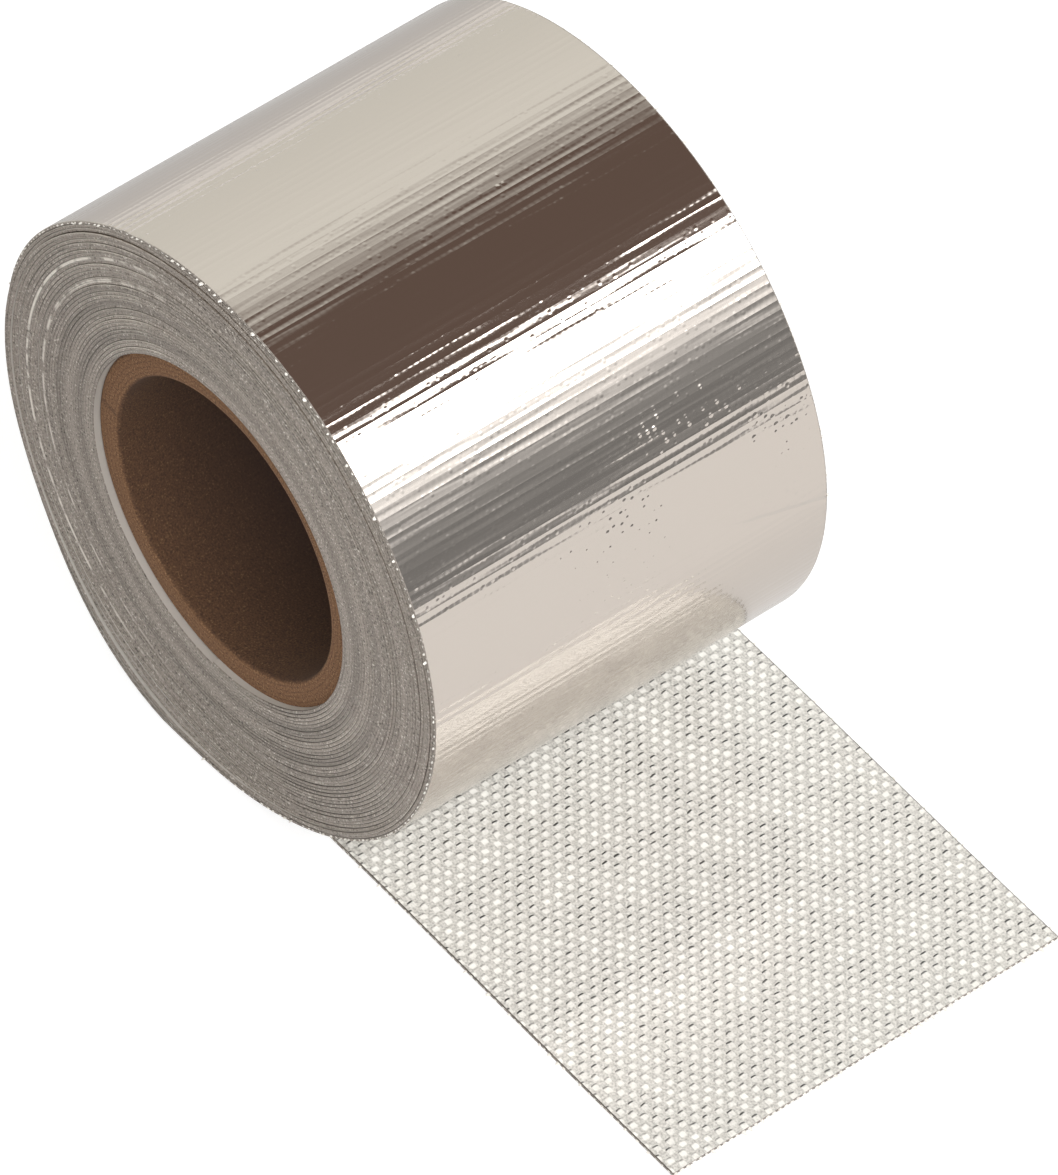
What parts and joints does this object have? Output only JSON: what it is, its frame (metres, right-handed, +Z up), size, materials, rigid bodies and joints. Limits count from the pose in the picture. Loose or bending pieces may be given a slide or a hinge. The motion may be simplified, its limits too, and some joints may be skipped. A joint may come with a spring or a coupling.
{
  "type": "reflective heat tape roll",
  "caption": "Roll of woven, foil-faced heat tape wound on a recessed cardboard core, lying on its side with a short flat tail run out along the floor.",
  "frame": {"origin": "on the floor right under the roll's axis, midway along the roll's width", "axes": "+X the way the free tail runs, +Y along the roll's axis away from the end that the picture shows, +Z up"},
  "size_m": [0.0798, 0.0406, 0.0531],
  "materials": {
    "foil_glass_cloth": "satin foil over plain-woven glass cloth",
    "cardboard": "raw brown spiral-wound cardboard"
  },
  "bodies": {
    "root": {"tape": "foil_glass_cloth", "cardboard_core": "cardboard"}
  },
  "joints": []
}
